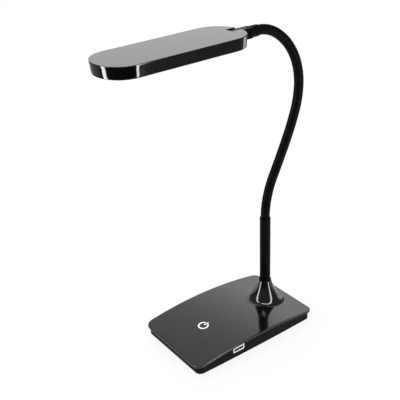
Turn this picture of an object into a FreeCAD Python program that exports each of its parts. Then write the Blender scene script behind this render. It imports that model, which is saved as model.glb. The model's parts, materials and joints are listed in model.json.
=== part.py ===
import FreeCAD, Part
import math
import os
from types import SimpleNamespace

import Sketcher

Vector = FreeCAD.Vector

# Gooseneck desk lamp. Millimetres, +Z up, origin at the centre of the face that the lamp stands on.
# -Y is the user's side, where the head reaches out over the base. +X is the side with the USB socket.

SIZES = {
    # base, plan and crown
    "base_length": 163.1,
    "base_front_width": 100.9,
    "base_back_width": 97.9,
    "base_side_bulge": 1.2,
    "base_corner_radius": 8.8,
    "pad_thickness": 1.0,
    "pad_margin": 5.0,
    "cover_mid_height": 17.7,
    "crown_rise": 7.1,
    "cover_thickness": 2.4,
    "cover_edge_bevel": 0.6,
    "cover_overhang": 2.3,
    "cut_reach": 10.0,
    "seam_gap": 0.1,
    "tray_wall": 2.2,
    "tray_floor": 2.0,
    # screws that hold the base together, and the bosses that take them
    "base_screw_side_inset": 12.0,
    "base_screw_end_inset": 13.5,
    "boss_radius": 3.4,
    "screw_shank_radius": 1.45,
    "screw_length": 8.0,
    "screw_head_radius": 2.8,
    "screw_head_height": 1.1,
    "screw_counterbore": 1.2,
    "thread_gap": 0.03,
    "hole_gap": 0.25,
    # ballast plate
    "ballast_side_gap": 2.5,
    "ballast_front_gap": 15.0,
    "ballast_jack_gap": 4.0,
    "ballast_board_gap": 4.0,
    "ballast_thickness": 5.0,
    # control board and its sockets
    "board_side_gap": 0.4,
    "board_width": 38.0,
    "board_front_inset": 31.5,
    "board_length": 42.0,
    "board_thickness": 1.6,
    "standoff_radius": 2.8,
    "standoff_inset": 4.2,
    "board_screw_radius": 1.0,
    "board_screw_head_radius": 1.9,
    "board_screw_head_height": 1.3,
    "board_screw_length": 4.0,
    "usb_front_inset": 54.55,
    "usb_width": 13.1,
    "usb_height": 5.7,
    "usb_depth": 14.0,
    "usb_sheet": 0.4,
    "usb_recess": 0.3,
    "usb_underside": 8.05,
    "tongue_width": 11.1,
    "tongue_thickness": 1.9,
    "tongue_length": 9.0,
    "tongue_drop": 0.55,
    "contact_width": 1.2,
    "contact_pitch": 2.3,
    "contact_thickness": 0.2,
    "inductor_radius": 3.2,
    "inductor_height": 4.0,
    "capacitor_radius": 2.5,
    "capacitor_height": 5.0,
    "driver_chip_width": 5.0,
    "driver_chip_length": 4.0,
    "driver_chip_height": 1.5,
    "touch_chip_side": 4.0,
    "touch_chip_height": 1.2,
    "lead_plug_width": 6.0,
    "lead_plug_length": 5.0,
    "lead_plug_height": 4.5,
    "lead_plug_inset": 1.0,
    "jack_width": 8.0,
    "jack_height": 6.4,
    "jack_length": 12.0,
    "jack_bore_radius": 2.8,
    "jack_bore_depth": 9.5,
    "jack_pin_radius": 1.0,
    # touch switch
    "icon_front_inset": 44.15,
    "icon_outer_radius": 6.1,
    "icon_stroke": 1.7,
    "icon_gap_angle": 50.0,
    "icon_bar_start": 1.4,
    "icon_bar_end": 8.1,
    "icon_gap": 0.03,
    "icon_depth": 1.3,
    "electrode_radius": 9.0,
    "electrode_thickness": 0.6,
    # stem and its socket
    "stem_back_inset": 29.55,
    "stem_radius": 6.0,
    "stem_wall": 0.75,
    "stem_top": 120.6,
    "stem_foot": 3.4,
    "socket_top": 40.5,
    "socket_top_radius": 6.9,
    "socket_foot_radius": 26.0,
    "socket_sink": 0.55,
    "socket_power": 1.75,
    "socket_wall": 2.2,
    "socket_hollow": 0.45,
    "socket_level": 0.42,
    "collar_radius": 6.95,
    "collar_height": 1.4,
    "stem_gap": 0.05,
    "washer_radius": 10.5,
    "washer_thickness": 1.2,
    "nut_flats": 18.0,
    "nut_height": 2.6,
    # gooseneck
    "link_length": 24.62,
    "link_turn_1": 13.7,
    "link_turn_2": 13.4,
    "link_turn_3": -1.2,
    "link_turn_4": -2.4,
    "link_turn_5": -5.8,
    "link_turn_6": -14.9,
    "link_turn_7": -20.1,
    "link_turn_8": -20.8,
    "link_turn_9": -21.0,
    "sleeve_radius": 5.125,
    "spiral_radius": 4.05,
    "largest_kink": 15.0,
    "knuckle_round": 6.5,
    "knuckle_gap": 0.12,
    "root_insert": 22.0,
    "plug_length": 12.0,
    "plug_gap": 0.05,
    # ferrule and hinge
    "hinge_reach": 29.2,
    "ferrule_near": 16.6,
    "ferrule_length": 11.8,
    "ferrule_radius": 5.8,
    "ferrule_bore_depth": 8.5,
    "ferrule_gap": 0.08,
    "knuckle_radius": 5.2,
    "knuckle_width": 9.4,
    "pin_radius": 1.5,
    "pin_length": 23.0,
    "pin_gap": 0.05,
    "hinge_washer_radius": 4.2,
    "hinge_washer_thickness": 0.45,
    # head
    "head_length": 155.6,
    "head_width": 61.1,
    "head_thickness": 11.7,
    "head_end_radius": 36.0,
    "head_corner_radius": 24.0,
    "head_side_draft": 4.9,
    "head_edge_bevel": 0.4,
    "head_pitch": 1.6,
    "head_top_wall": 1.6,
    "head_side_wall": 2.8,
    "hinge_setback": 6.4,
    "hinge_depth": 6.3,
    "notch_width": 10.6,
    "notch_clearance": 0.6,
    "cheek_width": 6.5,
    "cheek_depth": 14.0,
    "bezel_thickness": 1.6,
    "bezel_gap": 0.15,
    "window_side_margin": 9.55,
    "window_cheek_gap": 0.45,
    "window_end_radius": 24.0,
    "window_corner_radius": 16.0,
    "diffuser_flange": 1.2,
    "diffuser_flange_thickness": 1.2,
    "diffuser_recess": 0.3,
    "heat_plate_thickness": 1.0,
    "led_board_thickness": 1.0,
    "led_board_side_margin": 3.0,
    "led_board_end_margin": 6.0,
    "led_width": 2.8,
    "led_length": 3.5,
    "led_height": 0.8,
    "head_boss_radius": 2.5,
    "head_screw_side_inset": 5.55,
    "head_screw_end_inset": 34.8,
    "head_screw_radius": 1.0,
    "head_screw_head_radius": 1.9,
    "head_screw_head_height": 1.0,
    "head_screw_length": 6.0,
}

# A cut runs past the material by the cut reach. The socket's level and hollow are shares of its height:
# below the first it tilts with the crown, and below the second it is hollow.
# The turn of a link is in degrees, positive away from the user. The tenth link turns what is left,
# so that the neck ends in line with the ferrule.
LINKS = 10
LED_ROWS = 3
LEDS_PER_ROW = 12
FASTENER_SIDES = 12

doc = FreeCAD.newDocument("desk_lamp")
sheet = doc.addObject("Spreadsheet::Sheet", "Sizes")
nodes = {}


class Measure:
    """A value worked out from the sheet, together with the expression that gives it."""

    def __init__(self, value, text):
        self.value = float(value)
        self.text = text

    def __add__(self, other):
        other = as_measure(other)
        return Measure(self.value + other.value, f"({self.text} + {other.text})")

    def __sub__(self, other):
        other = as_measure(other)
        return Measure(self.value - other.value, f"({self.text} - {other.text})")

    def __mul__(self, other):
        other = as_measure(other)
        return Measure(self.value * other.value, f"({self.text} * {other.text})")

    def __truediv__(self, other):
        other = as_measure(other)
        return Measure(self.value / other.value, f"({self.text} / {other.text})")

    def __neg__(self):
        return Measure(-self.value, f"(-1 * {self.text})")

    def __radd__(self, other):
        return as_measure(other) + self

    def __rsub__(self, other):
        return as_measure(other) - self

    def __rmul__(self, other):
        return as_measure(other) * self


def as_measure(number):
    return number if isinstance(number, Measure) else Measure(number, repr(number))


ZERO = as_measure(0)

for row, (alias, number) in enumerate(SIZES.items(), start=1):
    sheet.set(f"A{row}", alias)
    sheet.set(f"B{row}", str(number))
    sheet.setAlias(f"B{row}", alias)
doc.recompute()
s = SimpleNamespace(**{alias: Measure(number, f"Sizes.{alias}") for alias, number in SIZES.items()})

# Heights and radii that several pieces share.
half_length = s.base_length / 2
crown_radius = half_length * half_length / (s.crown_rise * 2) + s.crown_rise / 2
side_radius = s.base_length * s.base_length / (s.base_side_bulge * 8) + s.base_side_bulge / 2
cover_top = s.pad_thickness + s.cover_mid_height
floor_top = s.pad_thickness + s.tray_floor
ballast_top = floor_top + s.ballast_thickness
board_top = s.usb_underside
board_under = board_top - s.board_thickness
stem_y = half_length - s.stem_back_inset
icon_y = s.icon_front_inset - half_length
usb_y = s.usb_front_inset - half_length
board_near = s.board_front_inset - half_length
board_far = board_near + s.board_length
window_width = s.head_width - s.window_side_margin * 2
window_inset = s.cheek_depth + s.bezel_gap + s.diffuser_flange + s.window_cheek_gap
window_length = s.head_length - window_inset * 2
led_board_width = window_width - s.led_board_side_margin * 2
led_board_length = window_length - s.led_board_end_margin * 2


def crown_drop(y):
    """How far the crown has fallen at this distance from the middle of the base."""
    y = as_measure(y)
    return y * y / (crown_radius * 2)


def bind(item, **measures):
    for name, value in measures.items():
        item.setExpression(name, as_measure(value).text)


def place(item, x=ZERO, y=ZERO, z=ZERO):
    for axis, value in (("x", x), ("y", y), ("z", z)):
        item.setExpression(f".Placement.Base.{axis}", as_measure(value).text)
    return item


def node(name, item):
    """Gives a finished sub-part its name."""
    item.Label = name
    nodes[name] = item
    return item


# Part primitives


def box(name, low, high):
    item = doc.addObject("Part::Box", name)
    spans = [as_measure(b) - as_measure(a) for a, b in zip(low, high)]
    bind(item, Length=spans[0], Width=spans[1], Height=spans[2])
    return place(item, *low)


def cylinder(name, radius, height, x=ZERO, y=ZERO, z=ZERO, axis="z"):
    item = doc.addObject("Part::Cylinder", name)
    bind(item, Radius=radius, Height=height)
    turns = {
        "x": FreeCAD.Rotation(Vector(0, 1, 0), 90),
        "y": FreeCAD.Rotation(Vector(1, 0, 0), -90),
        "z": FreeCAD.Rotation(),
    }
    item.Placement = FreeCAD.Placement(Vector(), turns[axis])
    return place(item, x, y, z)


def cut(name, base, tool):
    item = doc.addObject("Part::Cut", name)
    item.Base = base
    item.Tool = tool
    return item


def fuse(name, *items):
    item = doc.addObject("Part::MultiFuse", name)
    item.Shapes = list(items)
    return item


def group(name, items):
    """Separate solids that share one node."""
    item = doc.addObject("Part::Compound", name)
    item.Links = list(items)
    return item


# Bodies, sketches and features



def new_body(name):
    return doc.addObject("PartDesign::Body", name)


def new_sketch(body, plane, offset=ZERO, y=ZERO, tilt=0.0):
    """A sketch on an origin plane of its body, moved along the plane's normal and, for a tilted one, about X."""
    sketch = body.newObject("Sketcher::SketchObject", body.Name + "_sketch")
    planes = [item for item in body.Origin.OriginFeatures if item.Role == plane + "_Plane"]
    sketch.AttachmentSupport = [(planes[0], "")]
    sketch.MapMode = "FlatFace"
    sketch.AttachmentOffset = FreeCAD.Placement(Vector(), FreeCAD.Rotation(Vector(1, 0, 0), tilt))
    sketch.setExpression(".AttachmentOffset.Base.z", as_measure(offset).text)
    sketch.setExpression(".AttachmentOffset.Base.y", as_measure(y).text)
    return sketch


def hold(sketch, kind, value, *where):
    index = sketch.addConstraint(Sketcher.Constraint(kind, *where, value.value))
    sketch.setExpression(f"Constraints[{index}]", value.text)


def pin_point(sketch, geometry, position, point):
    """Fixes a point of a sketch at its distances from the sketch's origin."""
    for kind, value, axis in (("DistanceX", point[0], -2), ("DistanceY", point[1], -1)):
        value = as_measure(value)
        if value.value == 0:
            sketch.addConstraint(Sketcher.Constraint("PointOnObject", geometry, position, axis))
        else:
            hold(sketch, kind, value, -1, 1, geometry, position)


def arc_between(start, end, radius):
    """An arc of under a half circle, and whether it runs from start to end. A positive radius bulges to the right."""
    chord = end - start
    left = Vector(-chord.y, chord.x, 0)
    left.normalize()
    depth = math.sqrt(max(radius * radius - chord.Length**2 / 4, 0))
    centre = (start + end) / 2 + left * depth * math.copysign(1, radius)
    first, last = (start, end) if radius > 0 else (end, start)
    low = math.atan2(first.y - centre.y, first.x - centre.x)
    high = math.atan2(last.y - centre.y, last.x - centre.x)
    if high <= low:
        high += 2 * math.pi
    circle = Part.Circle(centre, Vector(0, 0, 1), abs(radius))
    return Part.ArcOfCircle(circle, low, high), radius > 0


def draw_outline(sketch, points, arcs=None):
    """A closed outline through points that go anticlockwise. arcs gives a radius to the side after a point."""
    arcs = arcs or {}
    spots = [Vector(as_measure(x).value, as_measure(y).value, 0) for x, y in points]
    sides = []
    for i, start in enumerate(spots):
        end = spots[(i + 1) % len(spots)]
        if i in arcs:
            arc, forward = arc_between(start, end, arcs[i].value)
            index = sketch.addGeometry(arc)
            size = arcs[i] if forward else -arcs[i]
            hold(sketch, "Radius", size, index)
            sides.append((index, 1, 2) if forward else (index, 2, 1))
        else:
            sides.append((sketch.addGeometry(Part.LineSegment(start, end)), 1, 2))
    for i, (index, start, _) in enumerate(sides):
        before, _, end = sides[i - 1]
        sketch.addConstraint(Sketcher.Constraint("Coincident", before, end, index, start))
        pin_point(sketch, index, start, points[i])


def draw_rectangle(sketch, low, high):
    (x0, y0), (x1, y1) = low, high
    draw_outline(sketch, [(x0, y0), (x1, y0), (x1, y1), (x0, y1)])


def draw_circle(sketch, x, y, radius):
    radius = as_measure(radius)
    centre = Vector(as_measure(x).value, as_measure(y).value, 0)
    index = sketch.addGeometry(Part.Circle(centre, Vector(0, 0, 1), radius.value))
    hold(sketch, "Radius", radius, index)
    pin_point(sketch, index, 3, (x, y))


def draw_sides(sketch, x, y, radius):
    """The outline of a screw, or of its hole or boss, with as many sides as the screws have."""
    turns = [math.tau * side / FASTENER_SIDES for side in range(FASTENER_SIDES)]
    draw_outline(sketch, [(x + radius * math.cos(turn), y + radius * math.sin(turn)) for turn in turns])


def draw_slab(sketch, width, length, end_radius, corner_radius):
    """A long rounded outline: straight sides, and ends of one wide arc between two tighter ones."""
    half, reach = width.value / 2, length.value / 2
    end, corner = end_radius.value, corner_radius.value
    centre_y = reach - end
    corner_x = half - corner
    corner_y = centre_y + math.sqrt((end - corner) ** 2 - corner_x**2)
    lean = math.atan2(corner_y - centre_y, corner_x)
    up = Vector(0, 0, 1)

    def arc(x, y, radius, low, high):
        return Part.ArcOfCircle(Part.Circle(Vector(x, y, 0), up, radius), low, high)

    quarter = math.pi / 2
    pieces = [
        Part.LineSegment(Vector(half, -corner_y, 0), Vector(half, corner_y, 0)),
        arc(corner_x, corner_y, corner, 0, lean),
        arc(0, centre_y, end, lean, 2 * quarter - lean),
        arc(-corner_x, corner_y, corner, 2 * quarter - lean, 2 * quarter),
        Part.LineSegment(Vector(-half, corner_y, 0), Vector(-half, -corner_y, 0)),
        arc(-corner_x, -corner_y, corner, 2 * quarter, 2 * quarter + lean),
        arc(0, -centre_y, end, 2 * quarter + lean, 4 * quarter - lean),
        arc(corner_x, -corner_y, corner, 4 * quarter - lean, 4 * quarter),
    ]
    line_right, _, end_far, _, line_left, _, end_near, _ = indices = [sketch.addGeometry(g) for g in pieces]
    for i, index in enumerate(indices):
        sketch.addConstraint(Sketcher.Constraint("Tangent", indices[i - 1], 2, index, 1))
    for i in (1, 3, 5, 7):
        hold(sketch, "Radius", corner_radius, indices[i])
    for index, side in ((end_far, 1), (end_near, -1)):
        hold(sketch, "Radius", end_radius, index)
        pin_point(sketch, index, 3, (ZERO, (length / 2 - end_radius) * side))
    for index, side in ((line_right, 1), (line_left, -1)):
        sketch.addConstraint(Sketcher.Constraint("Vertical", index))
        hold(sketch, "DistanceX", width / 2 * side, -1, 1, index, 1)


def extrude(body, kind, sketch, length, backward, middle):
    feature = body.newObject("PartDesign::" + kind, body.Name + "_" + kind.lower())
    feature.Profile = sketch
    feature.Reversed = backward
    if middle:
        feature.SideType = "Symmetric"
    if length is None:
        feature.Type = "ThroughAll"
    else:
        bind(feature, Length=length)
    doc.recompute()
    return feature


def pad(body, sketch, length, backward=False, middle=False):
    return extrude(body, "Pad", sketch, as_measure(length), backward, middle)


def pocket(body, sketch, length=None, backward=False, middle=False):
    return extrude(body, "Pocket", sketch, length, backward, middle)


def dress_edges(body, kind, feature, size, wanted):
    """A fillet or a chamfer of this size on the wanted edges of the body's last feature."""
    names = [f"Edge{i}" for i, edge in enumerate(feature.Shape.Edges, start=1) if wanted(edge)]
    if not names:
        raise RuntimeError(f"{body.Name} has no such edges")
    dressed = body.newObject("PartDesign::" + kind, f"{body.Name}_{kind.lower()}_{len(body.Group)}")
    dressed.Base = (feature, names)
    if kind == "Fillet":
        bind(dressed, Radius=size)
    else:
        bind(dressed, Size=size)
    doc.recompute()
    return dressed


def round_edges(body, feature, radius, wanted):
    return dress_edges(body, "Fillet", feature, radius, wanted)


def bevel_edges(body, feature, size, wanted):
    return dress_edges(body, "Chamfer", feature, size, wanted)


def upright_at(points):
    """A test for an upright straight edge that stands at one of these points in plan."""
    spots = [(as_measure(x).value, as_measure(y).value) for x, y in points]

    def wanted(edge):
        first, last = edge.Vertexes[0].Point, edge.Vertexes[-1].Point
        upright = math.hypot(first.x - last.x, first.y - last.y) < 0.001
        return upright and any(math.hypot(first.x - x, first.y - y) < 0.05 for x, y in spots)

    return wanted


# Base: plan outline, crowned cover, tray, pad and ballast


def plan_corners(inset):
    front = s.base_front_width / 2 - inset
    back = s.base_back_width / 2 - inset
    reach = half_length - inset
    return [(-front, -reach), (front, -reach), (back, reach), (-back, reach)]


def plan_block(body, inset, low, height, corner_radius):
    """A block of the base's plan outline, set in by inset, with rounded corners."""
    sketch = new_sketch(body, "XY", low)
    draw_outline(sketch, plan_corners(inset), {1: side_radius, 3: side_radius})
    block = pad(body, sketch, height)
    return round_edges(body, block, corner_radius, upright_at(plan_corners(inset)))


def crown_sketch(body, radius, top, far):
    """The region between the crown's arc and the level far, above or below it, seen from the side."""
    sketch = new_sketch(body, "YZ")
    reach = half_length + s.cut_reach
    centre = Vector(0, top.value - radius.value, 0)
    swing = math.asin(reach.value / radius.value)
    arc = Part.ArcOfCircle(
        Part.Circle(centre, Vector(0, 0, 1), radius.value), math.pi / 2 - swing, math.pi / 2 + swing
    )
    curve = sketch.addGeometry(arc)
    edge = top.value - radius.value * (1 - math.cos(swing))
    corners = [
        Vector(-reach.value, edge, 0),
        Vector(-reach.value, far.value, 0),
        Vector(reach.value, far.value, 0),
        Vector(reach.value, edge, 0),
    ]
    lines = [sketch.addGeometry(Part.LineSegment(a, b)) for a, b in zip(corners, corners[1:])]
    hold(sketch, "Radius", radius, curve)
    pin_point(sketch, curve, 3, (ZERO, top - radius))
    joins = [(curve, 2, lines[0], 1), (lines[0], 2, lines[1], 1), (lines[1], 2, lines[2], 1), (lines[2], 2, curve, 1)]
    for join in joins:
        sketch.addConstraint(Sketcher.Constraint("Coincident", *join))
    pin_point(sketch, lines[1], 1, (-reach, far))
    pin_point(sketch, lines[1], 2, (reach, far))
    sketch.addConstraint(Sketcher.Constraint("Vertical", lines[0]))
    sketch.addConstraint(Sketcher.Constraint("Vertical", lines[2]))
    return sketch


def screw_spots():
    along = half_length - s.base_screw_end_inset
    front = s.base_front_width / 2 - s.base_screw_side_inset
    back = s.base_back_width / 2 - s.base_screw_side_inset
    return [(-front, -along), (front, -along), (-back, along), (back, along)]


def side_wall_x(y):
    """The outer face of the tray's side wall at this distance along the base."""
    y = as_measure(y)
    share = (y + half_length) / s.base_length
    straight = s.base_front_width / 2 - (s.base_front_width - s.base_back_width) / 2 * share
    return straight + s.base_side_bulge - y * y / (side_radius * 2) - s.cover_overhang


def board_left():
    return side_wall_x(board_near) - s.tray_wall - s.board_side_gap - s.board_width


def standoff_spots():
    """The two corners of the board that screws hold: the near one on the left and the far one on the right."""
    near_spot = (board_left() + s.standoff_inset, board_near + s.standoff_inset)
    far_spot = (board_left() + s.board_width - s.standoff_inset, board_far - s.standoff_inset)
    return [near_spot, far_spot]


def base_pad():
    """The pad is glued on last and covers the screws."""
    body = new_body("base_pad")
    inset = s.cover_overhang + s.pad_margin
    plan_block(body, inset, ZERO, s.pad_thickness, s.base_corner_radius / 2)
    return node("base_pad", body)


def base_tray():
    body = new_body("base_tray")
    corner = s.base_corner_radius - s.cover_overhang
    plan_block(body, s.cover_overhang, s.pad_thickness, s.cover_mid_height, corner)
    under = cover_top - s.cover_thickness - s.seam_gap
    shoulder = crown_sketch(body, crown_radius - s.cover_thickness - s.seam_gap, under, cover_top + s.cut_reach)
    pocket(body, shoulder, middle=True)
    inset = s.cover_overhang + s.tray_wall
    hollow = new_sketch(body, "XY", floor_top)
    draw_outline(hollow, plan_corners(inset), {1: side_radius, 3: side_radius})
    room = pocket(body, hollow, backward=True)
    room = round_edges(body, room, corner - s.tray_wall, upright_at(plan_corners(inset)))
    posts = new_sketch(body, "XY", floor_top)
    for x, y in standoff_spots():
        draw_sides(posts, x, y, s.standoff_radius)
    pad(body, posts, board_under - floor_top)
    pilots = new_sketch(body, "XY", board_under)
    for x, y in standoff_spots():
        draw_sides(pilots, x, y, s.board_screw_radius + s.thread_gap)
    pocket(body, pilots, s.board_screw_length - s.board_thickness + s.hole_gap)
    screws = new_sketch(body, "XY", s.pad_thickness)
    for x, y in screw_spots():
        draw_sides(screws, x, y, s.screw_shank_radius + s.hole_gap)
    pocket(body, screws, backward=True)
    seats = new_sketch(body, "XY", s.pad_thickness)
    for x, y in screw_spots():
        draw_sides(seats, x, y, s.screw_head_radius + s.hole_gap)
    pocket(body, seats, s.screw_counterbore, backward=True)
    port = new_sketch(body, "YZ")
    low = s.usb_underside - s.hole_gap
    high = s.usb_underside + s.usb_height + s.hole_gap
    half = s.usb_width / 2 + s.hole_gap
    draw_rectangle(port, (usb_y - half, low), (usb_y + half, high))
    pocket(body, port, backward=True)
    inlet = new_sketch(body, "XZ")
    half = s.jack_width / 2 + s.seam_gap
    draw_rectangle(inlet, (-half, floor_top), (half, cover_top))
    pocket(body, inlet)
    return node("base_tray", body)


def socket_radius(share):
    """The socket's outer radius at this share of its height: a superellipse, flat at the foot and upright on top."""
    power = s.socket_power.value
    run = (1 - (1 - share) ** power) ** (1 / power)
    return s.socket_foot_radius - (s.socket_foot_radius - s.socket_top_radius) * run


def socket_loft(body, kind, shares, wall, first_drop):
    """Circles round the stem, tilted with the crown at the foot and level at the last, joined into one form."""
    foot = cover_top - crown_drop(stem_y) - s.socket_sink
    slope = math.degrees(stem_y.value / crown_radius.value)
    sections = []
    for i, share in enumerate(shares):
        height = foot + (s.socket_top - foot) * share
        if i == 0:
            height = height - first_drop
        sketch = new_sketch(body, "XY", height, stem_y, -slope * (1 - share / shares[-1]) ** 2)
        draw_circle(sketch, ZERO, ZERO, socket_radius(share) - wall)
        sections.append(sketch)
    doc.recompute()
    loft = body.newObject("PartDesign::" + kind, body.Name + "_" + kind.lower())
    loft.Profile = sections[0]
    loft.Sections = sections[1:]
    loft.Ruled = True
    doc.recompute()
    return loft


def socket_cones(body, shares):
    """The socket's upper part, where its circles are level."""
    foot = cover_top - crown_drop(stem_y) - s.socket_sink
    rise = s.socket_top - foot
    for i, (low, high) in enumerate(zip(shares, shares[1:])):
        cone = body.newObject("PartDesign::AdditiveCone", f"{body.Name}_cone_{i}")
        bind(cone, Radius1=socket_radius(low), Radius2=socket_radius(high), Height=rise * (high - low))
        place(cone, ZERO, stem_y, foot + rise * low)
        doc.recompute()


def base_cover():
    body = new_body("cover_moulding")
    plan_block(body, ZERO, ZERO, cover_top + s.cut_reach, s.base_corner_radius)
    pocket(body, crown_sketch(body, crown_radius, cover_top, cover_top + s.cut_reach * 2), middle=True)
    under = cover_top - s.cover_thickness
    inside = crown_sketch(body, crown_radius - s.cover_thickness, under, -s.cut_reach)
    shell = pocket(body, inside, middle=True)

    def on_crown(edge):
        spots = [edge.valueAt(p) for p in (edge.FirstParameter, edge.LastParameter)]
        spots.append(edge.valueAt((edge.FirstParameter + edge.LastParameter) / 2))
        centre_z = cover_top.value - crown_radius.value
        return all(abs(math.hypot(p.y, p.z - centre_z) - crown_radius.value) < 0.01 for p in spots)

    bevel_edges(body, shell, s.cover_edge_bevel, on_crown)
    level, hollow = s.socket_level.value, s.socket_hollow.value
    socket_loft(body, "AdditiveLoft", (0, level * 0.12, level * 0.4, level), ZERO, ZERO)
    socket_cones(body, (level, (level + 1) * 0.49, 1))
    drop = s.cover_thickness + s.hole_gap
    socket_loft(body, "SubtractiveLoft", (0, hollow * 0.4, hollow), s.socket_wall, drop)
    bore = new_sketch(body, "XY")
    draw_circle(bore, ZERO, stem_y, s.stem_radius + s.stem_gap)
    pocket(body, bore, backward=True)
    bosses = new_sketch(body, "XY", floor_top)
    for x, y in screw_spots():
        draw_sides(bosses, x, y, s.boss_radius)
    boss_top = cover_top - crown_drop(half_length - s.base_screw_end_inset) - s.cover_thickness / 2
    pad(body, bosses, boss_top - floor_top)
    pilots = new_sketch(body, "XY", floor_top)
    for x, y in screw_spots():
        draw_sides(pilots, x, y, s.screw_shank_radius + s.thread_gap)
    pocket(body, pilots, s.screw_length - s.tray_floor + s.screw_counterbore + s.hole_gap, backward=True)
    return body


def icon_block(name, grow):
    """The power sign as an upright block: a ring open at the back, with a bar that runs out through the opening."""
    low = cover_top - crown_drop(icon_y) - s.icon_depth
    height = s.icon_depth + s.crown_rise
    ring = cylinder(name + "_ring", s.icon_outer_radius + grow, height, ZERO, icon_y, low)
    bind(ring, Angle=360 - s.icon_gap_angle)
    ring.Placement.Rotation = FreeCAD.Rotation(Vector(0, 0, 1), 90 + s.icon_gap_angle.value / 2)
    hole_radius = s.icon_outer_radius - s.icon_stroke - grow
    hole = cylinder(name + "_hole", hole_radius, height, ZERO, icon_y, low)
    half = s.icon_stroke / 2 + grow
    start = icon_y + s.icon_bar_start - grow
    end = icon_y + s.icon_bar_end + grow
    bar = box(name + "_bar", (-half, start, low), (half, end, low + height))
    return fuse(name, cut(name + "_arc", ring, hole), bar)


def touch_switch(moulding):
    """The cover with a recess for the power sign, the sign itself, and the copper plate that senses a finger."""
    node("base_cover", cut("base_cover", moulding, icon_block("icon_recess", s.icon_gap)))
    sign = doc.addObject("Part::Common", "icon_light_guide")
    sign.Base = icon_block("icon_blank", ZERO)
    sign.Tool = moulding
    node("icon_light_guide", sign)
    top = cover_top - crown_drop(-icon_y + s.electrode_radius) - s.cover_thickness - s.seam_gap
    low = top - s.electrode_thickness
    plate = cylinder("electrode_disc", s.electrode_radius, s.electrode_thickness, ZERO, icon_y, low)
    node("touch_electrode", plate)


def ballast_plate():
    edge = s.cover_overhang + s.tray_wall
    half = s.base_back_width / 2 - edge - s.ballast_side_gap
    near = edge + s.ballast_front_gap - half_length
    far = half_length - s.cover_overhang - s.seam_gap - s.jack_length - s.ballast_jack_gap
    slab = box("ballast_slab", (-half, near, floor_top), (half, far, ballast_top))
    notch_low = (board_left() - s.ballast_board_gap, near, floor_top)
    notch_high = (half, board_far + s.ballast_board_gap, ballast_top)
    notch = box("ballast_notch", notch_low, notch_high)
    hole = cylinder("ballast_hole", s.stem_radius + s.hole_gap, s.ballast_thickness, ZERO, stem_y, floor_top)
    return node("ballast_plate", cut("ballast_plate", slab, fuse("ballast_openings", notch, hole)))


def prism(name, radius, height, x, y, z):
    item = doc.addObject("Part::Prism", name)
    item.Polygon = FASTENER_SIDES
    bind(item, Circumradius=radius, Height=height)
    return place(item, x, y, z)


def screw(name, x, y, seat, upwards, length, shank, head, head_height):
    """A slotted screw whose head seats at this height, with its shank going up or down from there."""
    shaft = prism(name + "_shank", shank, length, x, y, seat if upwards else seat - length)
    head_low = seat - head_height if upwards else seat
    cap = prism(name + "_head", head, head_height, x, y, head_low)
    slot_low = head_low if upwards else head_low + head_height / 2
    half = shank / 4
    slot = box(name + "_slot", (x - head, y - half, slot_low), (x + head, y + half, slot_low + head_height / 2))
    return cut(name, fuse(name + "_blank", shaft, cap), slot)


def base_screws():
    seat = s.pad_thickness + s.screw_counterbore
    sizes = (s.screw_length, s.screw_shank_radius, s.screw_head_radius, s.screw_head_height)
    screws = [screw(f"base_screw_{i}", x, y, seat, True, *sizes) for i, (x, y) in enumerate(screw_spots())]
    return node("base_screws", group("base_screws", screws))


def control_board():
    left = board_left()
    low = (left, board_near, board_under)
    high = (left + s.board_width, board_far, board_top)
    holes = []
    for i, (x, y) in enumerate(standoff_spots()):
        radius = s.board_screw_radius + s.hole_gap
        holes.append(cylinder(f"board_hole_{i}", radius, s.board_thickness, x, y, board_under))
    board = cut("control_board", box("board_blank", low, high), fuse("board_holes", *holes))
    node("control_board", board)
    sizes = (s.board_screw_length, s.board_screw_radius, s.board_screw_head_radius, s.board_screw_head_height)
    screws = [screw(f"board_screw_{i}", x, y, board_top, False, *sizes) for i, (x, y) in enumerate(standoff_spots())]
    return node("board_screws", group("board_screws", screws))


def board_parts():
    """The inductor and the capacitor of the supply, the two chips and the plugs of the two leads."""

    def spot(across, along):
        return board_left() + s.board_width * across, board_near + s.board_length * along

    def chip(name, centre, width, length, height):
        x, y = centre
        return box(name, (x - width / 2, y - length / 2, board_top), (x + width / 2, y + length / 2, board_top + height))

    plug_y = board_far - s.lead_plug_inset - s.lead_plug_length / 2
    plug_sizes = (s.lead_plug_width, s.lead_plug_length, s.lead_plug_height)
    parts = [
        cylinder("inductor", s.inductor_radius, s.inductor_height, *spot(0.24, 0.69), board_top),
        cylinder("capacitor", s.capacitor_radius, s.capacitor_height, *spot(0.5, 0.24), board_top),
        chip("driver_chip", spot(0.46, 0.64), s.driver_chip_width, s.driver_chip_length, s.driver_chip_height),
        chip("touch_chip", spot(0.26, 0.38), s.touch_chip_side, s.touch_chip_side, s.touch_chip_height),
        chip("supply_plug", (spot(0.4, 0)[0], plug_y), *plug_sizes),
        chip("lamp_plug", (spot(0.62, 0)[0], plug_y), *plug_sizes),
    ]
    return node("board_parts", group("board_parts", parts))


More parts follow.
